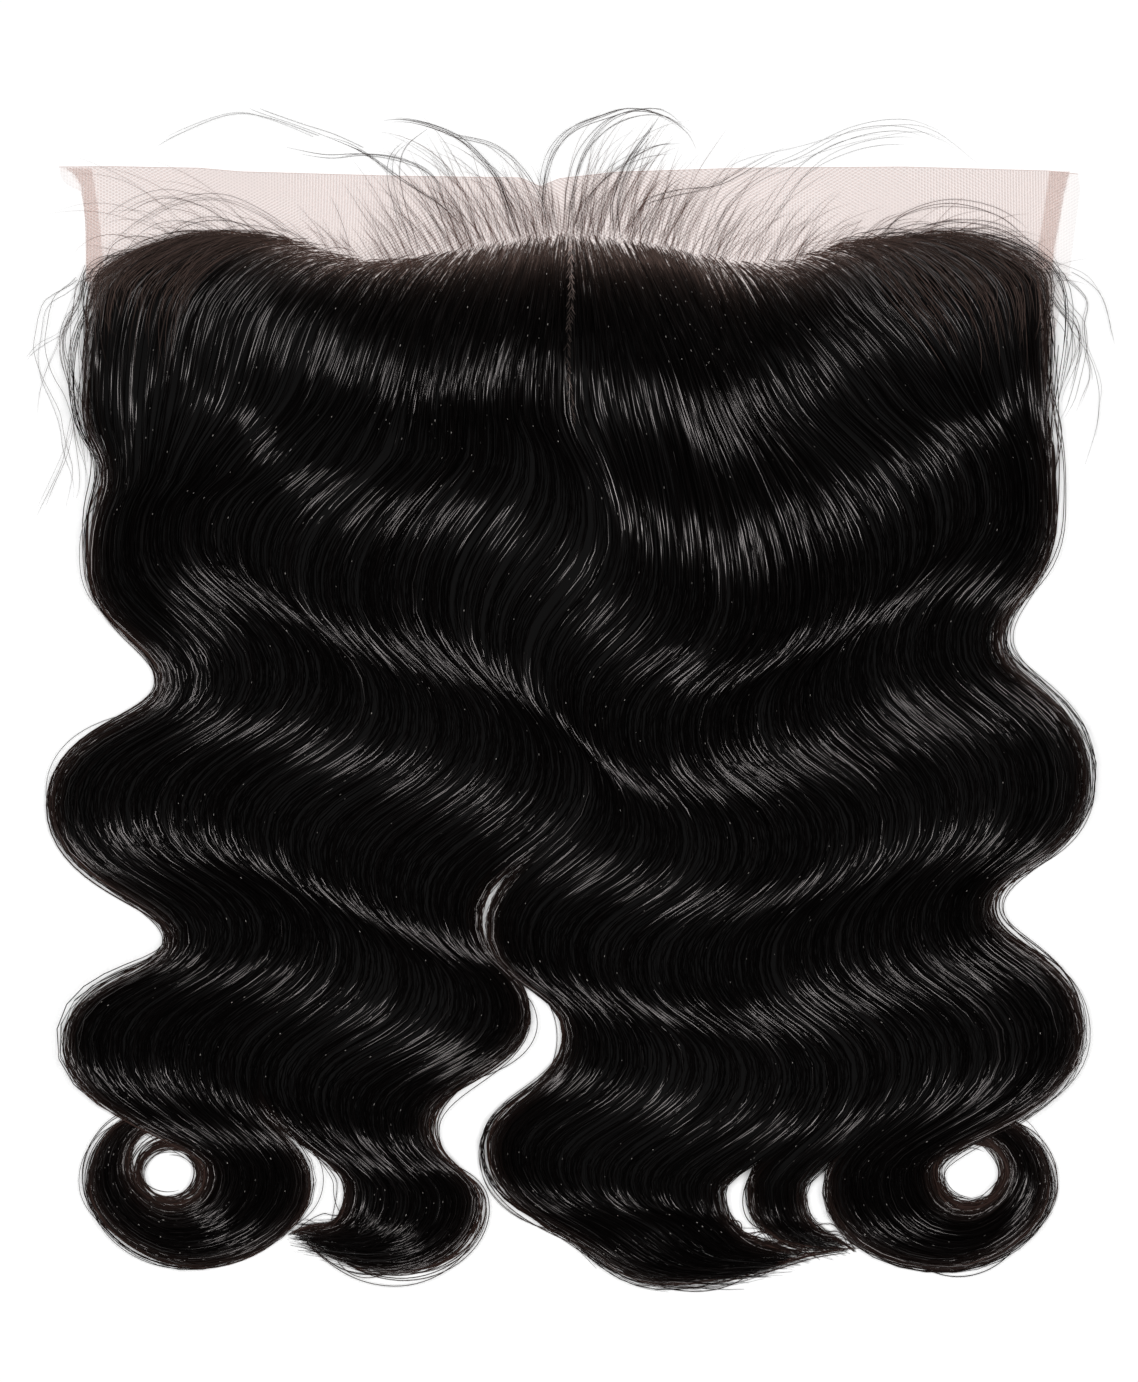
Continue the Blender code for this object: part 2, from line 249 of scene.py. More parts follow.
def cubic_slope(a, b, slope_a, slope_b, t):
    """The slope of that line."""
    return (b - a) * 6 * t * (1 - t) + slope_a * (1 - t) * (1 - 3 * t) - slope_b * t * (2 - 3 * t)


def ease(x):
    """From 0 to 1 with a soft start and a soft end."""
    x = np.clip(x, 0, 1)
    return x * x * (3 - 2 * x)


def hairline_back(x):
    """How far back the hair starts at each place across the lace."""
    return between_guides(HAIRLINE_ACROSS, HAIRLINE_BACK, np.minimum(np.abs(x), HAIRLINE_ACROSS[-1]))


class Lock:
    """One lock: its strands lie between two guides of its half, through all the folds and out to its end."""

    def __init__(self, guides, folds, lights, setoff, end, first, last, opens_first, opens_last):
        names = list(guides)
        self.half = "left" if names[0] == "edge" else "right"
        self.shares = list(guides.values())
        self.end_shares = self.shares[names.index(first):names.index(last) + 1]
        self.low, self.high = guides[first], guides[last]
        self.folds, self.end = list(folds.values()), list(end.values())
        self.light_shares, self.lights, self.patches = lights
        self.edge = guides["edge"]
        self.setoff = setoff
        self.opens = (opens_first, opens_last)
        self.last = len(self.folds) + len(self.end) - 1

    def fold_places(self, share):
        """Where each strand passes at every fold: across and back."""
        xs, backs = [], []
        for rows, shares in ((self.folds, self.shares), (self.end, self.end_shares)):
            for points in rows:
                xs.append(between_guides(shares, [p[0] for p in points], share))
                backs.append(between_guides(shares, [p[1] for p in points], share))
        backs[0] = hairline_back(xs[0])
        return np.array(xs), np.array(backs)

    def fatness(self, share, xs):
        """Near the half's outer edge the folds that stand out are fatter than those that lie in."""
        stands_out = np.sign((2 * xs[1:-1] - xs[:-2] - xs[2:]) * (self.edge - 0.5))
        fat = 1 + 0.3 * np.exp(-np.abs(share - self.edge) / 0.12) * stands_out
        fat[:2] = 1
        fat[len(self.folds) - 1:] = 1
        return fat

    def path(self, share, along):
        """Place and direction of each strand at each of its stations; along has a row for each strand."""
        xs, backs = self.fold_places(share)
        slope_x = fold_slopes(xs, backs, 1)
        slope_back = fold_slopes(backs, xs, self.fatness(share, xs))
        slope_x[0] = between_guides(self.shares, [away[0] for away in self.setoff], share)
        slope_back[0] = between_guides(self.shares, [away[1] for away in self.setoff], share)
        i = np.clip(along.astype(int), 0, self.last - 1)
        t = along - i
        n = np.arange(len(share))[:, None]
        found = []
        for values, slopes in ((xs, slope_x), (backs, slope_back)):
            four = (values[i, n], values[i + 1, n], slopes[i, n], slopes[i + 1, n], t)
            found += [cubic(*four), cubic_slope(*four)]
        x, dx, back, dback = found
        return x, FRONT - back, dx, -dback

    def edge_distance(self, side, x, y, along):
        """How far each station is from the lock's own edge, mm, and how open the slit there is."""
        share = np.full(len(x), (self.low, self.high)[side])
        ex, ey, _, _ = self.path(share, along)
        opens = self.opens[side]
        openness = np.ones_like(x) if opens is None else ease((along - opens) / 0.5)
        return np.hypot(x - ex, y - ey), openness

    def levels(self, share):
        """Where each strand is level, from its root to its end, and its height there."""
        rows = [np.interp(share, self.light_shares, row[3:]) for row in self.lights]
        places = np.array([np.zeros(len(share))] + rows + [np.full(len(share), float(self.last))])
        return places[:, :, None], [ROOT_HEIGHT] + [row[2] for row in self.lights] + [TIP_HEIGHT]

    def top(self, share, x, y, along):
        """Height of the hair's top surface, rounded down where the lock has an open edge."""
        places, heights = self.levels(share)
        height = np.full_like(along, heights[0])
        for i in range(len(heights) - 1):
            t = np.clip((along - places[i]) / (places[i + 1] - places[i]), 0, 1)
            rise = np.sin(t * math.pi / 2) if i == 0 else ease(t)
            height += (heights[i + 1] - heights[i]) * rise
        for side in (0, 1):
            distance, openness = self.edge_distance(side, x, y, along)
            near = 1 - np.clip(distance / EDGE_ROUNDING, 0, 1)
            drop = 1 - (1 - near ** EDGE_POWER) ** (1 / EDGE_POWER)
            height = height * (1 - openness * drop * EDGE_DROP)
        return height

    def tilt(self, share, along):
        """How far the wave's surface leans along each strand: not at all in the bands of light."""
        places, heights = self.levels(share)
        soft = [None] + [row[0] for row in self.lights] + [None]
        dim = [0.0] + [row[1] for row in self.lights] + [0.0]
        lean = np.zeros_like(along)
        for i in range(len(heights) - 1):
            inside = (along >= places[i]) & (along < places[i + 1])
            before = 1.0 if soft[i] is None else 1 - np.exp(-((along - places[i]) / soft[i]) ** 2)
            after = 1.0 if soft[i + 1] is None else 1 - np.exp(-((places[i + 1] - along) / soft[i + 1]) ** 2)
            nearest = np.where(along - places[i] < places[i + 1] - along, dim[i], dim[i + 1])
            amount = np.maximum(before * after, nearest)
            lean = np.where(inside, amount * np.sign(heights[i] - heights[i + 1]), lean)
        for at_share, share_reach, at_along, along_reach, lighter in self.patches:
            aside = ((share[:, None] - at_share) / share_reach) ** 2
            here = np.exp(-aside - ((along - at_along) / along_reach) ** 2)
            lean = lean * (1 - here * max(lighter, 0)) + here * max(-lighter, 0)
        return lean * MOST_TILT


def fold_slopes(values, other, fatness):
    """Slope at each fold: none where the strand turns back, steeper where the other coordinate turns."""
    steps = np.diff(values, axis=0)
    other_steps = np.diff(other, axis=0)
    turns = other_steps[:-1] * other_steps[1:] <= 0
    inside = calm_slope(steps[:-1], steps[1:]) * np.where(turns, ROUNDNESS * fatness, 1.0)
    return np.concatenate([steps[:1], inside, steps[-1:]])


def lies_on(y):
    """Height of what the hair lies on: the lace, or the table beyond it."""
    past_lace = (FRONT - LACE_BACK - 5) - y
    return (LACE_TOP + 0.3) * (1 - ease(past_lace / 12))


LEFT = (LEFT_GUIDES, LEFT_FOLDS, (LEFT_LIGHT_SHARES, LEFT_LIGHTS, LEFT_PATCHES), LEFT_SETOFF)
RIGHT = (RIGHT_GUIDES, RIGHT_FOLDS, (RIGHT_LIGHT_SHARES, RIGHT_LIGHTS, RIGHT_PATCHES), RIGHT_SETOFF)
LOCKS = {
    # Each lock, with how many strands it has and over how many folds they end.
    "left_curl": (Lock(*LEFT, LEFT_CURL, "edge", "slit", None, 8.0), 1180, 3.4),
    "left_tail": (Lock(*LEFT, LEFT_TAIL, "slit", "parting", 8.0, 5.4), 1100, 2.0),
    "right_sweep": (Lock(*RIGHT, RIGHT_SWEEP, "parting", "first_slit", 5.4, 7.6), 1280, 2.2),
    "right_strip": (Lock(*RIGHT, RIGHT_STRIP, "first_slit", "second_slit", 7.6, 7.6), 340, 1.6),
    "right_curl": (Lock(*RIGHT, RIGHT_CURL, "second_slit", "edge", 7.6, None), 1150, 3.0),
}


def unit(v):
    """The same direction, one long."""
    return v / np.maximum(np.linalg.norm(v, axis=-1, keepdims=True), 1e-9)


def evenly(rng, low, high, count):
    """Places from low to high, one somewhere in each of so many equal steps."""
    return low + (high - low) * (np.arange(count) + rng.uniform(0, 1, count)) / count


def waver(rng, group, along, sizes, tempos):
    """A slow wander for each strand: a few sines, with a start of their own for each group of strands."""
    total = np.zeros_like(along)
    groups = group.max() + 1
    for size, tempo in zip(sizes, tempos):
        start = rng.uniform(0, 2 * math.pi, groups)[group][:, None]
        pace = tempo * rng.uniform(0.75, 1.25, groups)[group][:, None]
        total += size * np.sin(along * pace * 2 * math.pi + start)
    return total


def under_camera(points):
    """Moves what lies above the table in towards the middle, so that it covers the place traced for it."""
    middle = np.array(FRAME_MIDDLE)
    across = middle + (points[..., :2] - middle) * (1 - points[..., 2:] / CAMERA_ABOVE)
    return np.concatenate([across, points[..., 2:]], axis=-1)


def ribbons(name, points, ups, widths, tints, material, dullness=None):
    """Strands as narrow ribbons whose normals fan out across them, so that each shines like a round hair."""
    count, stations, _ = points.shape
    points = under_camera(points)
    forward = np.empty_like(points)
    forward[:, 1:-1] = points[:, 2:] - points[:, :-2]
    forward[:, 0] = points[:, 1] - points[:, 0]
    forward[:, -1] = points[:, -1] - points[:, -2]
    side = unit(np.cross(ups, unit(forward)))
    half = widths[..., None] * side / 2
    verts = np.stack([points - half, points + half], axis=2) * MM
    verts[..., 2] = np.maximum(verts[..., 2], LOWEST)
    lean = side * math.sin(SPREAD_OF_ROUNDNESS)
    rise = ups * math.cos(SPREAD_OF_ROUNDNESS)
    normals = np.stack([rise - lean, rise + lean], axis=2)
    first = (np.arange(count)[:, None] * stations + np.arange(stations - 1)).reshape(-1) * 2
    faces = np.stack([first + 1, first, first + 2, first + 3], axis=1)
    flat = verts.reshape(-1, 3)
    mesh = bpy.data.meshes.new(name)
    mesh.vertices.add(len(flat))
    mesh.vertices.foreach_set("co", flat.astype(np.float32).ravel())
    mesh.loops.add(faces.size)
    mesh.loops.foreach_set("vertex_index", faces.astype(np.int32).ravel())
    mesh.polygons.add(len(faces))
    mesh.polygons.foreach_set("loop_start", np.arange(0, faces.size, 4, dtype=np.int32))
    mesh.update(calc_edges=True)
    mesh.shade_smooth()
    mesh.normals_split_custom_set_from_vertices(unit(normals.reshape(-1, 3)))
    colours = mesh.color_attributes.new("tint", "FLOAT_COLOR", "POINT")
    shades = np.ones((count, stations, 2, 4), np.float32)
    shades[..., :3] = tints[:, :, None, :]
    shades[..., 3] = DULLNESS if dullness is None else dullness[:, :, None]
    colours.data.foreach_set("color", shades.ravel())
    mesh.materials.append(material)
    obj = bpy.data.objects.new(name, mesh)
    bpy.context.scene.collection.objects.link(obj)
    return obj


def strand_heights(lock, share, x, y, along, start, depth):
    """Each strand rises from its knot in the lace to its own layer of the hair."""
    under = lies_on(y)
    top = lock.top(share, x, y, along)
    layer = under + np.maximum(top - under, 0.4) * (1 - 0.7 * depth)
    rise = ease((along - start) / 0.8)
    return (LACE_TOP + 0.1) * (1 - rise) + layer * rise


def turned(dx, dy, tilt, roll):
    """Which way each station of a strand faces: up, leaning along the strand and rolled across it."""
    length = np.maximum(np.hypot(dx, dy), 1e-6)
    ahead = np.stack([dx / length, dy / length, np.zeros_like(dx)], axis=-1)
    across = np.stack([-dy / length, dx / length, np.zeros_like(dx)], axis=-1)
    up = np.array((0, 0, 1.0)) * np.cos(tilt)[..., None] + ahead * np.sin(tilt)[..., None]
    return up * np.cos(roll)[..., None] + across * np.sin(roll)[..., None]


def first_cover(lock, share):
    """How far along the hair closes over the lace: sooner where it sweeps round a front corner."""
    corner = share if lock.half == "left" else 1 - share
    return 0.28 + 0.26 * ease((corner - 0.08) / 0.25)


def moved_aside(x, y, dx, dy, aside):
    """The stations of strands moved across their path by so much, to the left if over 0."""
    length = np.maximum(np.hypot(dx, dy), 1e-6)
    return x - aside * dy / length, y + aside * dx / length


def lay_lock(name, lock, count, ends_over, rng, material):
    """The lock's strands, from their knots in the lace to their tips."""
    each = (count, 1)
    share = lock.low + (lock.high - lock.low) * (rng.permutation(count) + rng.uniform(0, 1, count)) / count
    alone = np.arange(count)
    leaning = np.round(share * LEAN_GROUPS).astype(int)
    rolling = np.round(share * ROLL_GROUPS).astype(int)
    straying = np.round(share * STRAY_GROUPS).astype(int)
    wisp = np.round(share * WISPS) / WISPS
    depth = rng.beta(1.1, 3.2, each)
    behind = first_cover(lock, share)[:, None]
    at_front = rng.uniform(0, 1, each) < KNOTTED_AT_FRONT
    start = np.where(at_front, rng.beta(1.8, 1.6, each) * 1.2 * behind, rng.uniform(0.25, 1.7, each))
    depth = np.clip(depth + 0.25 * np.clip(start - 0.4, 0, 1), 0, 1)
    stop = lock.last - rng.beta(1.5, 2.0, each) * ends_over
    stations = lock.last * STATIONS_A_FOLD + 1
    reach = np.linspace(0, 1, stations)[None, :]
    along = start + (stop - start) * reach
    phases = along + waver(rng, alone, along, (0.035, 0.02), (0.12, 0.31))
    phases = np.clip(phases, 0, lock.last - 1e-3)

    # Strands draw together in wisps, and stray from the lock's open edges.
    drawing = 0.5 + 0.5 * np.sin(along * 1.9 + wisp[:, None] * 90)
    aside = (share - wisp)[:, None] * drawing
    aside = aside * WISP_PULL * ease((along - 0.3) / 1.2) + waver(rng, alone, along, (0.5, 0.3), (0.15, 0.4))
    x, y, dx, dy = lock.path(share, phases)
    for side, outward in SIDES:
        opens = lock.opens[side]
        distance, openness = lock.edge_distance(side, x, y, phases)
        spill = 2.6 * rng.uniform(0, 1, each) * np.exp(-distance / 3.0) * (1 - openness)
        apart = np.minimum(rng.gamma(1.1, 0.75, straying.max() + 1), 1.7)
        loose = rng.gamma(1.0, 0.25, each) + apart[straying][:, None]
        loose = loose * np.exp(-distance / 2.2) * openness * (1 + 2.0 * np.exp(-((phases - 1.2) / 0.7) ** 2))
        loose = loose * (1 + waver(rng, straying, along, (0.7, 0.5), (0.25, 0.5)))
        if opens is None:
            loose = loose * (1 - 0.7 * ease((phases - len(lock.folds) + 0.6) / 0.6))
        begins = 1.8 if opens is None else opens + 0.6
        drawn_in = (0.3 + 0.7 * ease((phases - begins) / 0.8)) * openness * np.exp(-distance / 5)
        aside = aside + outward * (spill + loose - drawn_in)
    tip = np.clip(1 - (stop - along) / 0.9, 0, 1) ** 2
    aside = aside + tip * rng.normal(0, 1.3, each)
    x, y = moved_aside(x, y, dx, dy, aside)
    z = strand_heights(lock, share, x, y, phases, start, depth)
    z = z + waver(rng, alone, along, (0.16, 0.1), (0.5, 1.3)) * ease((along - start) / 0.6)
    z = np.maximum(z, 0.2)

    # Which way they face: some at an open edge shine all along it, and others turn away from the light.
    edge = np.zeros_like(x)
    for side in (0, 1):
        distance, openness = lock.edge_distance(side, x, y, phases)
        edge = np.maximum(edge, openness * np.exp(-distance / 1.8))
    shining = (rng.uniform(0, 1, each) < 0.22) * np.clip(edge * 2.5, 0, 1)
    tilt = lock.tilt(share, phases) * (1 - shining)
    tilt = tilt + waver(rng, alone, along, (0.08, 0.05), (0.8, 2.0)) + rng.normal(0, 0.045, each)
    tilt = tilt + waver(rng, leaning, along, (0.05, 0.03), (0.25, 0.7))
    roll = waver(rng, alone, along, (0.3, 0.2), (0.2, 0.6)) + rng.normal(0, 0.35, each)
    turned_away = np.where(rng.uniform(0, 1, each) < 0.3, rng.choice((-0.9, 0.9), each), 0)
    turned_away = turned_away * ease((phases - 1.4) / 0.8)
    roll = (roll + turned_away + waver(rng, rolling, along, (0.35, 0.25), (0.25, 0.6))) * (1 - 0.6 * shining)
    ups = turned(dx, dy, tilt, roll)

    # Strands are thin at both ends, brown at their knots and at the edges, and duller at the roots.
    widths = STRAND_WIDE * rng.uniform(0.7, 1.25, each) * np.minimum(1, (1.02 - reach) * 9) ** 0.7
    widths = widths * np.minimum(1, 0.45 + 1.1 * (along - start))
    rooty = (np.exp(-(along - start) / 0.35) * np.exp(-(along / 0.55) ** 2))[..., None]
    tints = BLACK + EDGE_BROWN * edge[..., None] + ROOT_BROWN * rooty
    tints = tints * rng.uniform(0.4, 1.7, (count, 1, 1))
    dullness = 0.20 + rng.exponential(0.03, each) + 0.10 * np.exp(-(phases / 1.7) ** 4)
    dullness = np.clip(dullness, 0.2, 0.6)
    return ribbons(name, np.stack([x, y, z], axis=2), ups, widths, tints, material, dullness)


def add_node(tree, kind, inputs, **settings):
    """A shader node with its settings, each of its inputs given a value or fed by another node's output."""
    node = tree.nodes.new("ShaderNode" + kind)
    for setting, value in settings.items():
        setattr(node, setting, value)
    for socket, value in inputs.items():
        if isinstance(value, bpy.types.NodeSocket):
            tree.links.new(value, node.inputs[socket])
        else:
            node.inputs[socket].default_value = value
    return node


def calculated(tree, operation, *values):
    """A number worked out from others, each a plain value or another node's output."""
    return add_node(tree, "Math", dict(enumerate(values)), operation=operation).outputs[0]


def plain_material(name, colour, roughness, gloss):
    """A material of one colour, and its shader."""
    material = bpy.data.materials.new(name)
    material.use_nodes = True
    shader = material.node_tree.nodes["Principled BSDF"]
    shader.inputs["Base Color"].default_value = (*colour, 1)
    shader.inputs["Roughness"].default_value = roughness
    shader.inputs["Specular IOR Level"].default_value = gloss
    return material, shader


def hair_material():
    """Glossy hair. Its tint, and how dull it is, are painted on each piece."""
    material, shader = plain_material("black_hair", BLACK, DULLNESS, 0.27)
    tree = material.node_tree
    tint = add_node(tree, "Attribute", {}, attribute_name="tint")
    tree.links.new(tint.outputs["Color"], shader.inputs["Base Color"])
    tree.links.new(tint.outputs["Alpha"], shader.inputs["Roughness"])
    shader.inputs["IOR"].default_value = 1.5
    shader.inputs["Specular Tint"].default_value = (1.0, 0.93, 0.92, 1)
    return material


def under_hair(name, lock, material):
    """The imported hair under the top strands, one closed body that follows the lock."""
    short_of_tips = 2.6 if "curl" in name else 1.7
    last = lock.last - short_of_tips
    rows = int(last * BODY_ROWS_A_FOLD)
    share = lock.low + (lock.high - lock.low) * (0.5 - 0.5 * np.cos(np.linspace(0, math.pi, BODY_COLUMNS)))
    first = first_cover(lock, share)[:, None] + 0.04 * np.sin(share * 140)[:, None]
    along = first + (last - first) * np.linspace(0, 1, rows)[None, :]
    x, y, dx, dy = lock.path(share, along)
    aside = np.zeros_like(x)
    for side, outward in SIDES:
        distance, openness = lock.edge_distance(side, x, y, along)
        drawn_in = 2.0 + 1.2 * ease((along - 1.8) / 0.7)
        aside = aside - outward * np.exp(-distance / 7) * (drawn_in * openness - 1.2 * (1 - openness))
    x, y = moved_aside(x, y, dx, dy, aside)
    under = lies_on(y)
    top = lock.top(share, x, y, along)
    rise = ease((along - first) / 0.8)
    thick = np.maximum(top - under - 1.6, 0.3) * rise + 0.2
    upper = np.stack([x, y, under + thick], axis=2).transpose(1, 0, 2)
    lower = np.stack([x, y, under + 0.02 * thick], axis=2).transpose(1, 0, 2)[:, ::-1]
    rings = under_camera(np.concatenate([upper, lower], axis=1)) * MM
    around = rings.shape[1]
    faces = []
    for r in range(rows - 1):
        for c in range(around):
            d = (c + 1) % around
            faces.append(((r + 1) * around + c, (r + 1) * around + d, r * around + d, r * around + c))
    faces.append(tuple(range(around)))
    faces.append(tuple((rows - 1) * around + c for c in range(around))[::-1])
    obj = new_mesh(name, rings.reshape(-1, 3).tolist(), faces, material)
    # Its front fades in, where hairs are few and the lace shows between them.
    cover = np.ones((rows, around, 4), np.float32)
    cover[..., :3] = ease(np.linspace(0, rows / 7.0, rows))[:, None, None]
    marks = obj.data.color_attributes.new("packed", "FLOAT_COLOR", "POINT")
    marks.data.foreach_set("color", cover.ravel())
    face_outwards(obj)
    return obj


def under_material():
    """Dull black, see-through where hairs are few."""
    material, shader = plain_material("hair_beneath", (0.001, 0.0008, 0.0008), 0.8, 0.1)
    packed = add_node(material.node_tree, "Attribute", {}, attribute_name="packed")
    material.node_tree.links.new(packed.outputs["Fac"], shader.inputs["Alpha"])
    return material


LACE_FRONT = (
    # (across, back): the lace's cut front edge, with the little notch at its middle.
    (-165.5, 0.6), (-148, 0.5), (-120, 1.0), (-107, 2.2), (-55, 3.6), (-16, 4.1), (-10, 7.0), (-4, 4.4),
    (15, 2.3), (55, 1.0), (107, 0.6), (155, 1.9), (164, 2.9),
)
# (back, across): its two ends.
LACE_LEFT = (
    (0.6, -165.5), (4, -165.0), (6.4, -163.8), (7.2, -160.6), (9, -158.4), (17, -157.2), (34, -156.8),
    (60, -154), (132, -146),
)
LACE_RIGHT = (
    (2.9, 164), (8, 164.7), (18, 163.4), (28, 162.1), (36, 161.2), (46, 158.4), (60, 155), (90, 150),
    (132, 146),
)
TAPES = {
    # Back, then the tape's left and right edges.
    "left": (
        (1.2, -163.4, -154.9), (2.2, -161.6, -154.7), (4, -159.8, -154.4), (7, -158.4, -154),
        (13, -157.4, -153), (22, -156.8, -152), (29, -156.8, -151.4), (38, -157, -151),
    ),
    "right": (
        (2.2, 154.6, 161.2), (9, 153.6, 159.5), (17, 152.6, 158.2), (26, 151.0, 156.4), (34, 149.8, 155.6),
    ),
}


def new_mesh(name, verts, faces, material):
    """A smooth piece of one material."""
    mesh = bpy.data.meshes.new(name)
    mesh.from_pydata(verts, [], faces)
    mesh.shade_smooth()
    mesh.materials.append(material)
    obj = bpy.data.objects.new(name, mesh)
    bpy.context.scene.collection.objects.link(obj)
    return obj


def lace_sheet(material):
    """The net, one thin sheet cut to its outline. Its front row of cells is the cut edge."""
    bpy.ops.mesh.primitive_grid_add(x_subdivisions=LACE_COLUMNS, y_subdivisions=LACE_ROWS, size=2)
    net = bpy.context.object
    net.name = "lace_net_sheet"
    place = np.empty(len(net.data.vertices) * 3, np.float32)
    net.data.vertices.foreach_get("co", place)
    place = place.reshape(-1, 3).astype(float)
    u = (place[:, 0] + 1) / 2
    row = np.round((place[:, 1] + 1) / 2 * LACE_ROWS)
    left_back, left_x = np.array(LACE_LEFT).T
    right_back, right_x = np.array(LACE_RIGHT).T
    front_x, front_back = np.array(LACE_FRONT).T
    x = -150 + 300 * u
    for _ in range(12):
        edge = np.interp(x, front_x, front_back)
        forward = np.where(row == LACE_ROWS, 1.0, (row / (LACE_ROWS - 1)) ** 0.8 * (1 - 0.35 / LACE_BACK))
        back = LACE_BACK + (edge - LACE_BACK) * forward
        low = np.interp(back, left_back, left_x)
        high = np.interp(back, right_back, right_x)
        x = low + (high - low) * u
    ripple = 0.16 * np.sin(x * 0.11 + back * 0.05) * np.sin(back * 0.16 + 1.3) + 0.12 * np.sin(x * 0.043 - 1)
    place[:, 0] = x * MM
    place[:, 1] = (FRONT - back) * MM
    place[:, 2] = (0.72 + ripple) * MM
    net.data.vertices.foreach_set("co", place.astype(np.float32).ravel())
    net.data.update()

    # The lace outside the tapes is sheer: a long flap at the right end and a short one at the left.
    left, right = np.array(TAPES["left"]), np.array(TAPES["right"])
    past_right = x - np.interp(back, right[:, 0], right[:, 2])
    past_left = np.interp(back, left[:, 0], left[:, 1]) - x - 0.4
    sheer = ease(past_right / 0.8 + 0.5) * ease((54 - back) / 6)
    sheer = np.maximum(sheer, ease(past_left / 0.8 + 0.5) * ease((12 - back) / 3))
    hem = np.where(row >= LACE_ROWS, 1.0, 0.0)
    shades = np.stack([hem, sheer, np.zeros_like(sheer), np.ones_like(sheer)], axis=1)
    marks = net.data.color_attributes.new("net_marks", "FLOAT_COLOR", "POINT")
    marks.data.foreach_set("color", shades.astype(np.float32).ravel())
    net.data.shade_smooth()
    net.data.materials.append(material)
    return net


def tape_strip(side, material):
    """A strip of lace folded double along the end: out along one layer, round the fold and back above it."""
    rows = np.array(TAPES[side])
    backs = np.linspace(rows[0, 0], rows[-1, 0], 24)
    low = np.interp(backs, rows[:, 0], rows[:, 1])
    high = np.interp(backs, rows[:, 0], rows[:, 2])
    outer, inner = (low, high) if side == "left" else (high, low)
    across = (0.04, 0.25, 0.5, 0.75, 0.93, 1.0, 1.0, 0.93, 0.75, 0.5, 0.25, 0.0)
    heights = (1.25, 1.25, 1.25, 1.25, 1.28, 1.45, 1.7, 1.88, 1.9, 1.9, 1.9, 1.88)
    verts = []
    for r in range(len(backs)):
        for share, height in zip(across, heights):
            x = inner[r] + (outer[r] - inner[r]) * share
            verts.append((x * MM, (FRONT - backs[r]) * MM, height * MM))
    wide = len(across)
    faces = []
    for r in range(len(backs) - 1):
        for c in range(wide - 1):
            corners = (r * wide + c, r * wide + c + 1, (r + 1) * wide + c + 1, (r + 1) * wide + c)
            faces.append(corners if side == "left" else corners[::-1])
    strip = new_mesh("folded_tape_" + side, verts, faces, material)
    face_outwards(strip)
    return strip


def face_outwards(obj):
    """Turns the faces of a piece so that they all point out of it."""
    bpy.ops.object.select_all(action="DESELECT")
    bpy.context.view_layer.objects.active = obj
    obj.select_set(True)
    bpy.ops.object.mode_set(mode="EDIT")
    bpy.ops.mesh.select_all(action="SELECT")
    bpy.ops.mesh.normals_make_consistent(inside=False)
    bpy.ops.object.mode_set(mode="OBJECT")
    obj.select_set(False)


def net_pattern():
    """A group that gives how much of a net's thread covers each place: rows of meshes that shift over it."""
    group = bpy.data.node_groups.new("net_pattern", "ShaderNodeTree")
    group.interface.new_socket("Pitch", in_out="INPUT", socket_type="NodeSocketFloat")
    group.interface.new_socket("Cover", in_out="OUTPUT", socket_type="NodeSocketFloat")
    pitch = group.nodes.new("NodeGroupInput").outputs["Pitch"]
    place = add_node(group, "TexCoord", {}).outputs["Object"]
    warp = add_node(group, "TexNoise", {"Vector": place, "Scale": 9.0, "Detail": 1.0})
    shift = add_node(group, "VectorMath", {0: warp.outputs["Color"], "Scale": 0.010}, operation="SCALE")
    moved = add_node(group, "VectorMath", {0: place, 1: shift.outputs["Vector"]}, operation="ADD")
    warped = moved.outputs["Vector"]
    total = None
    for k, angle in enumerate((0.0, 60.0, 120.0)):
        heading = (math.cos(math.radians(angle)), math.sin(math.radians(angle)), 0)
        along = add_node(group, "VectorMath", {0: warped, 1: heading}, operation="DOT_PRODUCT")
        turns = calculated(group, "DIVIDE", along.outputs["Value"], pitch)
        wave = calculated(group, "COSINE", calculated(group, "MULTIPLY", turns, 2 * math.pi))
        offset = (0.7 * k + 0.3, 0.4 * k, 0.9 * k)
        apart = add_node(group, "VectorMath", {0: place, 1: offset}, operation="ADD")
        patch = add_node(group, "TexNoise", {"Vector": apart.outputs["Vector"], "Scale": 26.0, "Detail": 0.0})
        weight = add_node(group, "MapRange", {
            "Value": patch.outputs[0], "From Min": 0.40, "From Max": 0.62, "To Min": 0.15, "To Max": 1.2,
        })
        part = calculated(group, "MULTIPLY", wave, weight.outputs["Result"])
        total = part if total is None else calculated(group, "ADD", total, part)
    cover = add_node(group, "MapRange", {"Value": total, "From Min": -0.9, "From Max": 0.9},
                     interpolation_type="SMOOTHSTEP")
    outputs = group.nodes.new("NodeGroupOutput")
    group.links.new(cover.outputs["Result"], outputs.inputs["Cover"])
    return group


def netted(tree, pattern, pitch, cover):
    """How much of each place is thread, in a net of this pitch, m, from its gaps to its threads."""
    net = add_node(tree, "Group", {"Pitch": pitch}, node_tree=pattern).outputs["Cover"]
    thread = add_node(tree, "MapRange", {"Value": net, "To Min": cover[0], "To Max": cover[1]})
    return thread.outputs["Result"]


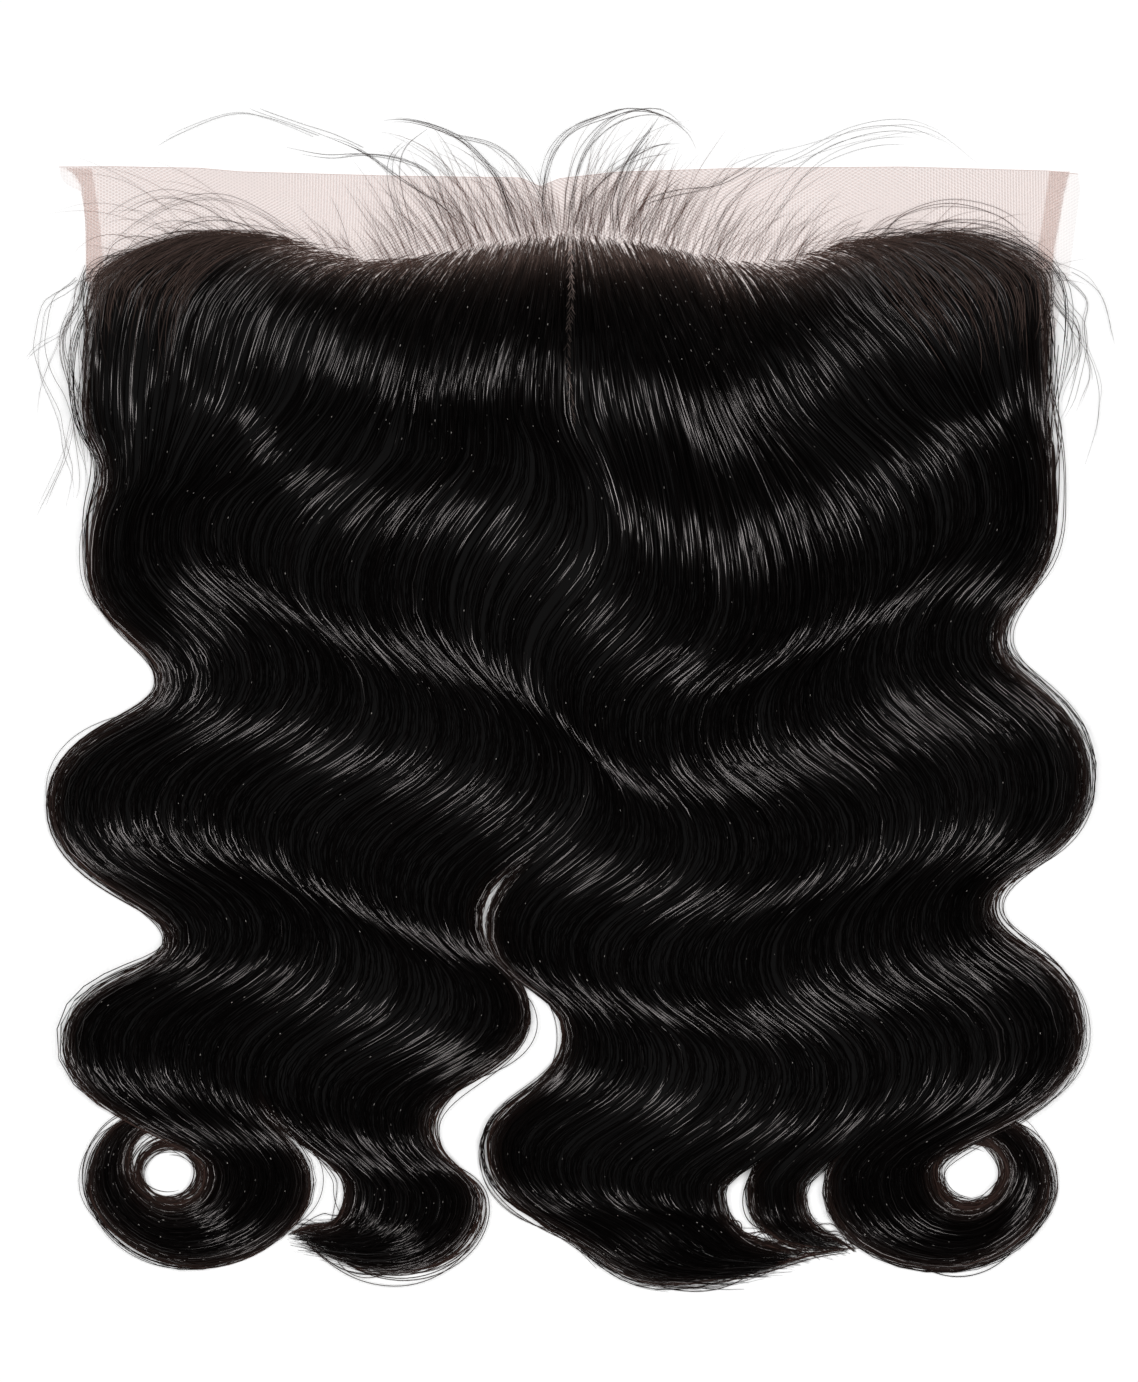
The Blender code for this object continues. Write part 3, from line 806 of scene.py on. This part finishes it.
def lace_material(pattern):
    """Pinkish nude thread; more of it at the cut front edge, less in the sheer flaps at the ends."""
    material, shader = plain_material("nude_lace", (0.62, 0.43, 0.38), 0.8, 0.15)
    tree = material.node_tree
    marks = add_node(tree, "Attribute", {}, attribute_name="net_marks")
    parts = add_node(tree, "SeparateColor", {"Color": marks.outputs["Color"]})
    thin = add_node(tree, "MapRange", {"Value": parts.outputs["Green"], "To Min": 1.0, "To Max": 0.3})
    sheer = calculated(tree, "MULTIPLY", netted(tree, pattern, 0.00095, LACE_COVER), thin.outputs["Result"])
    edge = calculated(tree, "MULTIPLY", parts.outputs["Red"], 0.75)
    tree.links.new(calculated(tree, "MAXIMUM", sheer, edge), shader.inputs["Alpha"])
    return material


def tape_material(pattern):
    """The same thread, in the doubled lace of the tapes."""
    material, shader = plain_material("folded_lace", (0.66, 0.45, 0.39), 0.8, 0.15)
    tree = material.node_tree
    tree.links.new(netted(tree, pattern, 0.0009, TAPE_COVER), shader.inputs["Alpha"])
    return material


BABY_HAIRS = (
    # From and to along the hairline and how far in front of it, in the photograph's pixels; how many; which
    # way they set off and how they vary (90 is straight out of the hairline, over 90 is to the left); how far
    # they bend on the way, to the left if over 0; shortest and longest, mm; how wide, mm.
    (140, 260, 0, 26, 136, 8, 62, 14, 34, 0.10),
    (180, 290, 0, 14, 134, 8, 50, 30, 60, 0.10),
    (240, 350, 0, 36, 138, 9, 36, 8, 22, 0.11),
    (330, 420, 0, 50, 118, 9, 16, 8, 22, 0.12),
    (390, 480, 0, 70, 114, 5, 12, 16, 38, 0.13),
    (450, 545, 0, 76, 108, 5, 14, 18, 42, 0.13),
    (440, 520, 3, 20, 122, 6, 24, 30, 50, 0.14),
    (470, 550, 4, 12, 112, 6, 50, 36, 60, 0.14),
    (520, 562, 0, 34, 100, 7, 10, 12, 32, 0.14),
    (545, 600, 0, 44, 90, 8, -8, 10, 26, 0.13),
    (562, 590, 0, 18, 84, 7, -50, 28, 60, 0.14),
    (575, 640, 2, 36, 82, 6, -36, 22, 50, 0.14),
    (590, 680, 2, 50, 76, 6, -18, 20, 48, 0.14),
    (620, 720, 0, 66, 70, 6, -16, 16, 38, 0.13),
    (700, 800, 0, 54, 62, 7, -22, 10, 28, 0.12),
    (700, 800, 0, 12, 58, 9, -30, 24, 44, 0.13),
    (780, 870, 0, 36, 46, 9, -36, 10, 26, 0.11),
    (850, 965, 0, 34, 40, 9, -44, 14, 32, 0.11),
    (930, 1030, 2, 26, 24, 9, -40, 12, 28, 0.11),
)


def baby_hairs(rng, material):
    """Short fine hairs that stand out of the hairline over the lace, each a soft arc."""
    found, wide = [], []
    stations = 15
    reach = np.linspace(0, 1, stations)[None, :]
    for low, high, ahead, count, heading, vary, bend, short, long, width in BABY_HAIRS:
        each = (count, 1)
        px = evenly(rng, low, high, count)
        x0, _ = on_table(px, 0)
        back = hairline_back(x0) - ahead * PIXEL + rng.normal(2.0, 1.5, count)
        angle = np.radians(rng.normal(heading, vary, count))[:, None]
        bends = np.radians(bend * rng.uniform(0.5, 1.5, count))[:, None]
        length = rng.uniform(short, long, each) * rng.uniform(0.6, 1, each)
        wave = rng.normal(0, 0.06, each) * np.sin(reach * rng.uniform(4, 9, each))
        turn = angle + bends * reach ** 1.5 + wave
        step = length / (stations - 1)
        x = x0[:, None] + np.cumsum(np.cos(turn) * step, axis=1)
        y = (FRONT - back)[:, None] + np.cumsum(np.sin(turn) * step, axis=1)
        z = LACE_TOP + 0.25 + rng.uniform(0.2, 2.2, each) * np.sin(reach * math.pi * 0.9)
        found.append(np.stack([x, y, z + np.zeros_like(x)], axis=2))
        wide.append(0.68 * width * rng.uniform(0.6, 1.3, each) * np.minimum(1, (1.03 - reach) * 3))
    return thin_hairs("baby_hairs", np.concatenate(found), np.concatenate(wide), BABY_BROWN, rng, material)


def thin_hairs(name, points, widths, brown, rng, material):
    """Loose hairs of one brown, each with a roll of its own. None reaches further forward than the limit."""
    count = len(points)
    ahead = np.max(points[:, :, 1] - points[:, :1, 1], axis=1)
    share = np.minimum(1, (MOST_FORWARD - points[:, 0, 1]) / np.maximum(ahead, 1e-6))
    points = points[:, :1] + (points - points[:, :1]) * share[:, None, None]
    ups = facing(points, 0.35, rng.normal(0, 0.25, (count, 1)))
    tints = brown * rng.uniform(0.4, 1.5, (count, 1, 1)) + np.zeros(points.shape)
    return ribbons(name, points, ups, widths, tints, material)


def facing(points, lean, roll=0.0):
    """Which way strands along the points face: up, leaning along themselves, and rolled."""
    dx = np.gradient(points[..., 0], axis=1)
    dy = np.gradient(points[..., 1], axis=1)
    return turned(dx, dy, np.zeros_like(dx) + lean, np.zeros_like(dx) + roll)


def short_roots(rng, material):
    """Short strands at the hairline, so that the hair thins out towards the front and the net shows there."""
    found = []
    stations = 7
    for lock, _, _ in LOCKS.values():
        share = rng.uniform(lock.low, lock.high, int(SHORT_ROOTS * (lock.high - lock.low) / 2))
        each = (len(share), 1)
        start = rng.uniform(0, 0.55, each) ** 1.15
        along = start + rng.uniform(0.12, 0.32, each) * np.linspace(0, 1, stations)[None, :]
        x, y, _, _ = lock.path(share, along)
        swing = rng.normal(0.12, 0.22, each) * (1 if lock.half == "left" else -1)
        dx = x - x[:, :1]
        dy = y - y[:, :1]
        turn = swing * np.linspace(1, 0, stations)[None, :]
        x = x[:, :1] + dx * np.cos(turn) + dy * np.sin(turn)
        y = y[:, :1] - dx * np.sin(turn) + dy * np.cos(turn)
        x = x + rng.normal(0, 0.5, each)
        y = y + rng.normal(0, 0.9, each)
        z = LACE_TOP + 0.15 + 2.2 * ease(along - start) + rng.uniform(0, 0.5, each)
        found.append(np.stack([x, y, z], axis=2))
    points = np.concatenate(found)
    reach = np.linspace(0, 1, stations)[None, :]
    widths = rng.uniform(0.10, 0.19, (len(points), 1)) * np.minimum(1, 0.5 + reach * 3)
    widths = widths * np.minimum(1, (1.05 - reach) * 5)
    return thin_hairs("short_roots", points, widths, ROOT_BROWN, rng, material)


def corner_fringe(rng, material):
    """Fine brown strands round the two front corners of the hair, over its edge and outside it."""
    found = []
    count = 260
    each = (count, 1)
    reach = np.linspace(0, 1, 20)[None, :]
    for name, side, outward in (("left_curl", 0, -1), ("right_curl", 1, 1)):
        lock = LOCKS[name][0]
        inside = 0.11 * rng.uniform(0, 1, count) ** 1.6
        share = lock.low + inside if side == 0 else lock.high - inside
        start = rng.uniform(0, 0.75, each)
        along = start + rng.uniform(0.35, 1.1, each) * reach
        x, y, dx, dy = lock.path(share, along)
        out = rng.gamma(1.3, 1.5, each) * np.sin(math.pi * reach) ** 0.8 + rng.normal(0, 0.7, each)
        x, y = moved_aside(x, y, dx, dy, outward * out)
        top = lock.top(share, x, y, along)
        z = LACE_TOP + 0.4 + (lies_on(y) + top + 0.6 - LACE_TOP) * ease((along - start) / 0.4)
        found.append(np.stack([x, y, z], axis=2))
    points = np.concatenate(found)
    widths = rng.uniform(0.10, 0.2, (len(points), 1)) * np.minimum(1, (1.04 - reach) * 4)
    return thin_hairs("corner_fringe", points, widths, ROOT_BROWN * 0.8, rng, material)


def spline(points, stations):
    """A smooth line through the points, read at evenly spaced stations."""
    points = np.asarray(points, float)
    ends = np.concatenate([[2 * points[0] - points[1]], points, [2 * points[-1] - points[-2]]])
    slopes = (ends[2:] - ends[:-2]) / 2
    t = np.linspace(0, len(points) - 1, stations)
    i = np.clip(t.astype(int), 0, len(points) - 2)
    return cubic(points[i], points[i + 1], slopes[i], slopes[i + 1], (t - i)[:, None])


LOOSE_HAIRS = (
    # How many, how far they stray from each other and how wide they are, mm, then the pixels they pass.
    (5, 0.7, 0.20, (519, 240), (505, 200), (494, 175), (467, 145), (440, 130), (405, 122), (371, 124)),
    (3, 1.0, 0.16, (550, 236), (542, 200), (522, 167), (494, 145), (459, 135), (434, 128)),
    (4, 1.2, 0.16, (470, 236), (445, 208), (420, 191), (393, 173), (371, 156), (346, 142), (318, 134)),
    (3, 1.2, 0.14, (452, 225), (434, 178), (404, 160), (366, 154), (330, 157), (290, 150)),
    (3, 1.0, 0.15, (412, 254), (396, 200), (391, 172), (396, 150), (421, 131)),
    (2, 1.5, 0.12, (371, 156), (330, 136), (290, 122), (255, 112), (238, 106)),
    (2, 1.5, 0.12, (330, 137), (270, 116), (230, 112), (180, 130), (150, 146)),
    (5, 1.1, 0.16, (543, 236), (541, 195), (549, 153), (571, 126), (607, 111), (634, 104), (665, 110),
     (695, 131), (709, 158)),
    (5, 0.8, 0.19, (617, 236), (614, 205), (621, 178), (632, 156), (648, 134), (664, 111)),
    (5, 1.6, 0.16, (578, 236), (592, 196), (620, 168), (655, 150), (690, 146)),
    (5, 1.6, 0.15, (570, 236), (574, 190), (588, 150), (620, 118), (668, 110), (700, 134)),
    (4, 1.6, 0.15, (630, 236), (640, 210), (672, 198), (714, 190), (760, 164), (800, 148)),
    (3, 1.4, 0.13, (716, 240), (722, 210), (760, 178), (800, 160), (852, 132), (905, 128), (948, 146)),
    (3, 1.6, 0.12, (760, 236), (800, 176), (850, 148), (905, 140), (945, 156)),
    (2, 1.4, 0.12, (700, 200), (740, 168), (800, 152), (870, 134), (930, 132), (985, 172)),
    (3, 1.0, 0.14, (240, 238), (228, 220), (200, 200), (160, 192), (118, 210), (92, 240)),
    (3, 1.0, 0.14, (300, 240), (262, 215), (220, 200), (175, 205), (130, 230), (98, 262)),
    (3, 0.9, 0.14, (880, 238), (905, 214), (950, 203), (1000, 214), (1035, 242), (1058, 268)),
    (3, 0.9, 0.14, (905, 232), (950, 222), (995, 226), (1030, 246), (1053, 264), (1086, 279)),
    (7, 1.7, 0.20, (120, 262), (98, 272), (85, 279), (78, 307), (67, 326), (62, 348), (67, 376), (76, 404),
     (83, 437), (87, 465), (92, 493)),
    (4, 1.3, 0.16, (92, 270), (82, 300), (78, 340), (80, 380), (82, 430), (88, 490), (80, 520), (69, 534)),
    (3, 1.2, 0.15, (96, 262), (72, 285), (48, 300), (40, 330), (38, 350), (44, 372), (55, 393), (63, 415),
     (69, 441), (78, 471), (77, 495), (70, 523), (61, 556)),
    (2, 1.0, 0.13, (84, 300), (66, 328), (44, 341), (31, 352), (24, 362)),
    (2, 1.2, 0.12, (84, 280), (70, 302), (57, 341), (43, 376), (36, 409), (38, 440)),
    (3, 1.6, 0.13, (86, 380), (78, 430), (70, 460), (58, 490), (46, 520)),
    (9, 1.6, 0.18, (960, 240), (982, 240), (1006, 246), (1029, 258), (1046, 281), (1063, 308), (1077, 326),
     (1081, 348), (1077, 367), (1070, 388), (1063, 405), (1052, 422)),
    (3, 1.0, 0.15, (1040, 262), (1058, 270), (1084, 296), (1081, 322), (1084, 348), (1087, 374), (1079, 400),
     (1071, 424)),
    (2, 1.2, 0.12, (1053, 264), (1086, 280), (1103, 297), (1112, 322), (1114, 345), (1108, 380)),
    (10, 0.9, 0.30, (742, 1274), (778, 1264), (812, 1254), (840, 1249), (866, 1247)),
    (2, 1.2, 0.13, (1070, 316), (1081, 333), (1093, 352), (1100, 379), (1101, 400), (1098, 424), (1088, 462)),
)


def loose_hairs(rng, material):
    """Longer hairs that have come away: over the lace and out beyond the ends of the hair."""
    found, wide = [], []
    stations = 32
    reach = np.linspace(0, 1, stations)
    for count, stray, width, *places in LOOSE_HAIRS:
        base = np.array([on_table(px, py) for px, py in places])
        for _ in range(count):
            sway = rng.normal(0, stray * 0.8, 2) + np.cumsum(rng.normal(0, stray * 0.35, base.shape), axis=0)
            line = spline(base + sway, stations * 3)
            start = int(rng.uniform(0, 0.12) * stations * 3)
            stop = int(rng.uniform(0.72, 1.0) * stations * 3) - 1
            line = line[np.linspace(start, stop, stations).astype(int)]
            z = 0.5 + rng.uniform(1.0, 4.5) * np.sin(math.pi * (0.15 + 0.8 * reach))
            found.append(np.column_stack([line, z]))
            wide.append(width * rng.uniform(0.6, 1.2) * np.minimum(1, (1.04 - reach) * 5))
    return thin_hairs("loose_hairs", np.array(found), 0.8 * np.array(wide), LOOSE_BROWN, rng, material)


def edge_strays(rng, material):
    """Strands just outside the locks' open edges, or across their hollows, with white gaps between."""
    found, wide = [], []
    reach = np.linspace(0, 1, 40)[None, :]
    arch = np.sin(math.pi * reach)
    for lock, _, _ in LOCKS.values():
        for side, outward in SIDES:
            opens = lock.opens[side]
            begins = 0.9 if opens is None else opens + 0.1
            for_each_fold = 9 if opens is None else 6
            count = int(for_each_fold * (lock.last - begins))
            each = (count, 1)
            share = np.full(count, (lock.low, lock.high)[side])
            start = begins + rng.uniform(0, 1, each) * (lock.last - begins - 1.0)
            stop = np.minimum(start + rng.uniform(0.7, 3.0, each), lock.last - rng.beta(1, 5, each))
            along = start + (stop - start) * reach
            phases = np.clip(along + rng.normal(0, 0.05, each), 0, lock.last - 1e-3)
            x, y, dx, dy = lock.path(share, phases)
            far = rng.uniform(0, 1, each) < 0.3
            out = np.where(far, rng.uniform(1.0, 4.2, each), rng.gamma(2.0, 0.5, each) - 0.5)
            out = out * arch ** 0.6
            out = out + waver(rng, np.arange(count), along, (0.3, 0.2), (0.3, 0.7)) - 2.2 * (1 - arch)
            x, y = moved_aside(x, y, dx, dy, outward * out)
            calm = rng.uniform(0, 0.6, each) ** 1.5
            x = x + calm * (smooth_along(x) - x)
            y = y + calm * (smooth_along(y) - y)
            z = 1.0 + rng.uniform(0.3, 5, each) * arch ** 0.6 + np.zeros_like(x)
            found.append(np.stack([x, y, z], axis=2))
            thick = np.where(far, rng.uniform(0.16, 0.28, each), rng.uniform(0.26, 0.46, each))
            wide.append(thick * np.minimum(1, (1.02 - reach) * 10))
    return thin_hairs("edge_strays", np.concatenate(found), np.concatenate(wide), STRAY_BROWN, rng, material)


def smooth_along(values):
    """The same line with its bends drawn straighter: each station is the mean of 13."""
    before = np.repeat(values[:, :1], 6, axis=1)
    after = np.repeat(values[:, -1:], 6, axis=1)
    total = np.cumsum(np.concatenate([np.zeros((len(values), 1)), before, values, after], axis=1), axis=1)
    return (total[:, 13:] - total[:, :-13]) / 13


# The rings of fine hair in the curls: middle (across, back) and half the width and depth of each, mm.
RINGS = ((-129.6, 326.0, 10.0, 9.0), (129.1, 325.8, 11.2, 10.8))


def ring_hairs(rng, material):
    """Fine hairs that close the ring in the middle of each curl, the last of them across its hole."""
    found, wide = [], []
    hairs, closing = 74, 62
    reach = np.linspace(0, 1, 30)
    for x0, back0, half_wide, half_deep in RINGS:
        for k in range(hairs):
            inner = k >= closing
            out = rng.uniform(-2.6, -0.4) if inner else rng.gamma(1.6, 0.7) - 0.6
            middle = rng.normal(0, 0.7, 2)
            first = rng.uniform(0, 2 * math.pi)
            sweep = rng.uniform(0.8, 2.0) if inner else rng.uniform(1.6, 5.2)
            angle = first + sweep * reach
            x = x0 + middle[0] + (half_wide + out) * np.cos(angle)
            y = FRONT - back0 + middle[1] + (half_deep + out) * np.sin(angle)
            z = rng.uniform(1.2, 6) + 0.6 * np.sin(angle * 2 + first)
            found.append(np.column_stack([x, y, z]))
            width = 0.17 if inner else rng.uniform(0.16, 0.36)
            wide.append(width * np.minimum(1, (1.03 - reach) * 6) * np.minimum(1, (0.03 + reach) * 6))
    return thin_hairs("ring_hairs", np.array(found), np.array(wide), STRAY_BROWN, rng, material)


def parting_knots(rng, material):
    """Short light strands of net and knots that cross in the parting, from the hairline back."""
    found, wide, shades = [], [], []
    left, right = LOCKS["left_tail"][0], LOCKS["right_sweep"][0]
    reach = np.linspace(0, 1, 4)
    for back in np.arange(24.5, 84, 0.85):
        for half, lock, share in ((-1, left, left.high - 0.004), (1, right, right.low + 0.004)):
            if half < 0 and back > 52 and rng.uniform() < 0.7:
                continue
            along = np.interp(back, (24, 49, 76, 120), (0, 1, 2, 3))
            angle = math.radians(rng.normal(28, 5))
            length = rng.uniform(1.2, 2.6)
            sway = 0.9 * math.sin((back - 24) * 0.13) * ease((back - 30) / 20)
            x = rng.normal(-0.3 + sway, 0.25) + half * reach * length * math.sin(angle)
            y = FRONT - back - reach * length * math.cos(angle)
            top = lock.top(np.array([share]), x[None, :], y[None, :], np.full((1, len(reach)), along))[0]
            found.append(np.column_stack([x, y, top + lies_on(y) + 0.7]))
            wide.append(rng.uniform(0.12, 0.22) * np.array((0.5, 1, 1, 0.4)))
            bright = 0.34 * math.exp(-((back - 22) / 14) ** 2) + 0.035
            bright += 0.09 * math.exp(-((back - 71) / 6) ** 2)
            shades.append(bright * rng.uniform(0.3, 1.6))
    points = np.array(found)
    tints = np.array(shades)[:, None, None] * np.array((1.0, 0.76, 0.68)) + np.zeros(points.shape)
    return ribbons("parting_knots", points, facing(points, 0.5), np.array(wide), tints, material)


def painted_glint_flecks(rng, material):
    """Painted glints: tiny pale flecks here and there on the hair, coloured as cut ends that catch the light.
    """
    found = []
    for lock, _, _ in LOCKS.values():
        count = int(GLINT_FLECKS * (lock.high - lock.low))
        share = evenly(rng, lock.low, lock.high, count)
        spot = rng.uniform(0, 1, count)
        along = 0.4 + (lock.last - 2.0) * spot[:, None] + np.linspace(0, 0.011, 3)[None, :]
        x, y, _, _ = lock.path(share, along)
        z = lies_on(y) + lock.top(share, x, y, along) + 0.8
        found.append(np.stack([x, y, z], axis=2))
    points = np.concatenate(found)
    middle = points[:, 1:2]
    size = rng.uniform(0.25, 0.7, (len(points), 1, 1))
    ahead = points - middle
    ahead[..., 2] = 0
    half = np.maximum(np.linalg.norm(ahead[:, -1:], axis=2, keepdims=True), 1e-6)
    points = middle + ahead / half * size / 2
    # Their pale tint is painted highlight, a colour in place of the light that the cut ends would catch.
    shades = rng.uniform(0.03, 0.36, (len(points), 1, 1)) ** 1.2
    tints = shades * np.array((1.0, 0.93, 0.88)) + np.zeros(points.shape)
    widths = rng.uniform(0.15, 0.26, (len(points), 1)) * np.array((0.6, 1.0, 0.6))
    return ribbons("painted_glint_flecks", points, facing(points, 0.4), widths, tints, material)


def build_studio():
    """The camera straight above, one soft light overhead, and the white table that the hair lies on."""
    scene = bpy.context.scene
    scene.view_settings.view_transform = "Standard"
    lens = bpy.data.cameras.new("camera")
    lens.sensor_fit = "VERTICAL"
    lens.angle_y = 2 * math.atan(FRAME_HIGH_MM / 2 / CAMERA_ABOVE)
    camera = bpy.data.objects.new("camera", lens)
    camera.location = (FRAME_MIDDLE[0] * MM, FRAME_MIDDLE[1] * MM, CAMERA_ABOVE * MM)
    scene.collection.objects.link(camera)
    scene.camera = camera
    world = bpy.data.worlds.new("studio")
    world.use_nodes = True
    background = world.node_tree.nodes["Background"]
    background.inputs["Strength"].default_value = 0.03
    background.inputs["Color"].default_value = (1, 1, 1, 1)
    scene.world = world
    softbox = bpy.data.lights.new("overhead_softbox", "AREA")
    softbox.shape = "RECTANGLE"
    softbox.size = 1.6
    softbox.size_y = 0.5
    softbox.energy = 79
    light = bpy.data.objects.new("overhead_softbox", softbox)
    light.location = (0, 0.02, 2.6)
    light.rotation_euler = (Vector((0, 0, 0)) - light.location).to_track_quat("-Z", "Y").to_euler()
    scene.collection.objects.link(light)
    bpy.ops.mesh.primitive_plane_add(size=6, location=(0, 0, 0))
    floor = bpy.context.object
    floor.name = "white_table"
    material, _ = plain_material("white_table", (0.93, 0.93, 0.93), 0.9, 0.2)
    floor.data.materials.append(material)


def main():
    bpy.ops.object.select_all(action="DESELECT")
    build_studio()
    hair = hair_material()
    beneath = under_material()
    rng = np.random.default_rng(SEED)
    for name, (lock, count, ends_over) in LOCKS.items():
        body = under_hair(name + "_body", lock, beneath)
        strands = lay_lock(name + "_strands", lock, count, ends_over, rng, hair)
        for piece in (body, strands):
            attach(piece, "root")
        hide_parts("lock_" + name)
    fine_hairs = (baby_hairs, short_roots, corner_fringe, loose_hairs, edge_strays, ring_hairs)
    for make in (*fine_hairs, parting_knots, painted_glint_flecks):
        piece = make(rng, hair)
        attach(piece, "root")
    pattern = net_pattern()
    net = lace_sheet(lace_material(pattern))
    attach(net, "root")
    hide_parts("lace_net")
    tape = tape_material(pattern)
    for side in TAPES:
        strip = tape_strip(side, tape)
        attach(strip, "root")
        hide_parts("end_tape_" + side)


main()
